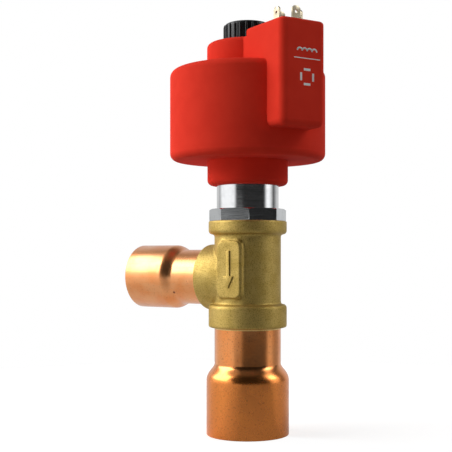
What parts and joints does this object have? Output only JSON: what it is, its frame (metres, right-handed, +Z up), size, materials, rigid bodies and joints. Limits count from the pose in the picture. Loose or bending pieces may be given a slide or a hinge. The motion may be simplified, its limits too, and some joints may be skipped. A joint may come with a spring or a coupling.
{
  "type": "electronic expansion valve",
  "caption": "Angle-pattern electronic expansion valve: brass body with belled copper inlet and outlet, steel motor cartridge and a red stepper coil with a plug block on top.",
  "frame": {"origin": "centre of the outlet socket's mouth", "axes": "+Z up the stem towards the coil, the inlet socket opens along -X, and the body's raised pad faces -Y"},
  "size_m": [0.1062, 0.0712, 0.1888],
  "materials": {
    "red_overmould": "matte, fine moulded grain",
    "black_nut": "satin moulded",
    "bobbin_plastic": "natural",
    "seal_rubber": "smooth",
    "seal_ptfe": "smooth white",
    "blade_plate": "tin-plated",
    "insert_brass": "turned",
    "winding_copper": "enamelled copper wire",
    "stator_iron": "stamped",
    "can_steel": "bright drawn",
    "collar_steel": "bright machined",
    "bearing_steel": "ground",
    "cage_brass": "stamped",
    "magnet_ferrite": "sintered",
    "hub_plastic": "moulded",
    "moving_steel": "turned",
    "guide_bronze": "turned",
    "body_brass": "forged and sand-blasted",
    "pipe_copper": "annealed copper, brazed"
  },
  "bodies": {
    "valve": {"coil_housing": "red_overmould", "upper_yoke_cup": "stator_iron", "upper_pole_plate": "stator_iron", "upper_bobbin": "bobbin_plastic", "upper_winding": "winding_copper", "lower_yoke_cup": "stator_iron", "lower_pole_plate": "stator_iron", "lower_bobbin": "bobbin_plastic", "lower_winding": "winding_copper", "terminal_blade_1": "blade_plate", "terminal_blade_2": "blade_plate", "terminal_blade_3": "blade_plate", "terminal_blade_4": "blade_plate", "winding_leads": "winding_copper", "connector_insert": "insert_brass", "neck_seal_ring": "seal_rubber", "motor_can": "can_steel", "can_stud": "can_steel", "cartridge_collar": "collar_steel", "collar_gasket": "seal_ptfe", "upper_bearing_holder": "moving_steel", "upper_bearing_outer_race": "bearing_steel", "lower_bearing_holder": "moving_steel", "lower_bearing_outer_race": "bearing_steel", "guide_sleeve": "guide_bronze", "seat_ring": "guide_bronze", "valve_body": "body_brass", "inlet_fitting": "pipe_copper", "outlet_fitting": "pipe_copper"},
    "rotor": {"rotor_magnet": "magnet_ferrite", "rotor_hub": "hub_plastic", "lead_screw": "moving_steel", "upper_bearing_inner_race": "bearing_steel", "lower_bearing_inner_race": "bearing_steel"},
    "upper_ball_set": {"upper_bearing_balls": "bearing_steel", "upper_bearing_cage": "cage_brass"},
    "lower_ball_set": {"lower_bearing_balls": "bearing_steel", "lower_bearing_cage": "cage_brass"},
    "lift": {"carriage_nut": "guide_bronze", "plunger": "moving_steel", "metering_cone": "insert_brass", "plunger_seal": "seal_ptfe"},
    "nut_seal": {"nut_seal_ring": "seal_rubber"},
    "nut": {"fixing_nut": "black_nut"}
  },
  "joints": [
    {"name": "plunger_lift", "type": "slide", "parent": "valve", "child": "lift", "axis": [0, 0, 1], "range_m": [0, 0.015]},
    {"name": "rotor_spin", "type": "hinge", "parent": "valve", "child": "rotor", "pos_m": [0, 0, 0.1461], "axis": [0, 0, -1], "range_deg": [0, 3600]},
    {"name": "upper_balls_spin", "type": "hinge", "parent": "valve", "child": "upper_ball_set", "pos_m": [0, 0, 0.1461], "axis": [0, 0, -1], "range_deg": [0, 1450]},
    {"name": "lower_balls_spin", "type": "hinge", "parent": "valve", "child": "lower_ball_set", "pos_m": [0, 0, 0.1461], "axis": [0, 0, -1], "range_deg": [0, 1450]},
    {"name": "nut_lift", "type": "slide", "parent": "valve", "child": "nut_seal", "axis": [0, 0, 1], "range_m": [0, 0.0075]},
    {"name": "nut_turn", "type": "hinge", "parent": "nut_seal", "child": "nut", "pos_m": [0, 0, 0.1461], "axis": [0, 0, 1], "range_deg": [0, 1800]}
  ],
  "couplings": [
    {"joint": "rotor_spin", "follows": "plunger_lift", "rad_per_m": 4188.8},
    {"joint": "upper_balls_spin", "follows": "plunger_lift", "rad_per_m": 1684.2},
    {"joint": "lower_balls_spin", "follows": "plunger_lift", "rad_per_m": 1684.2},
    {"joint": "nut_turn", "follows": "nut_lift", "rad_per_m": 4188.8}
  ]
}
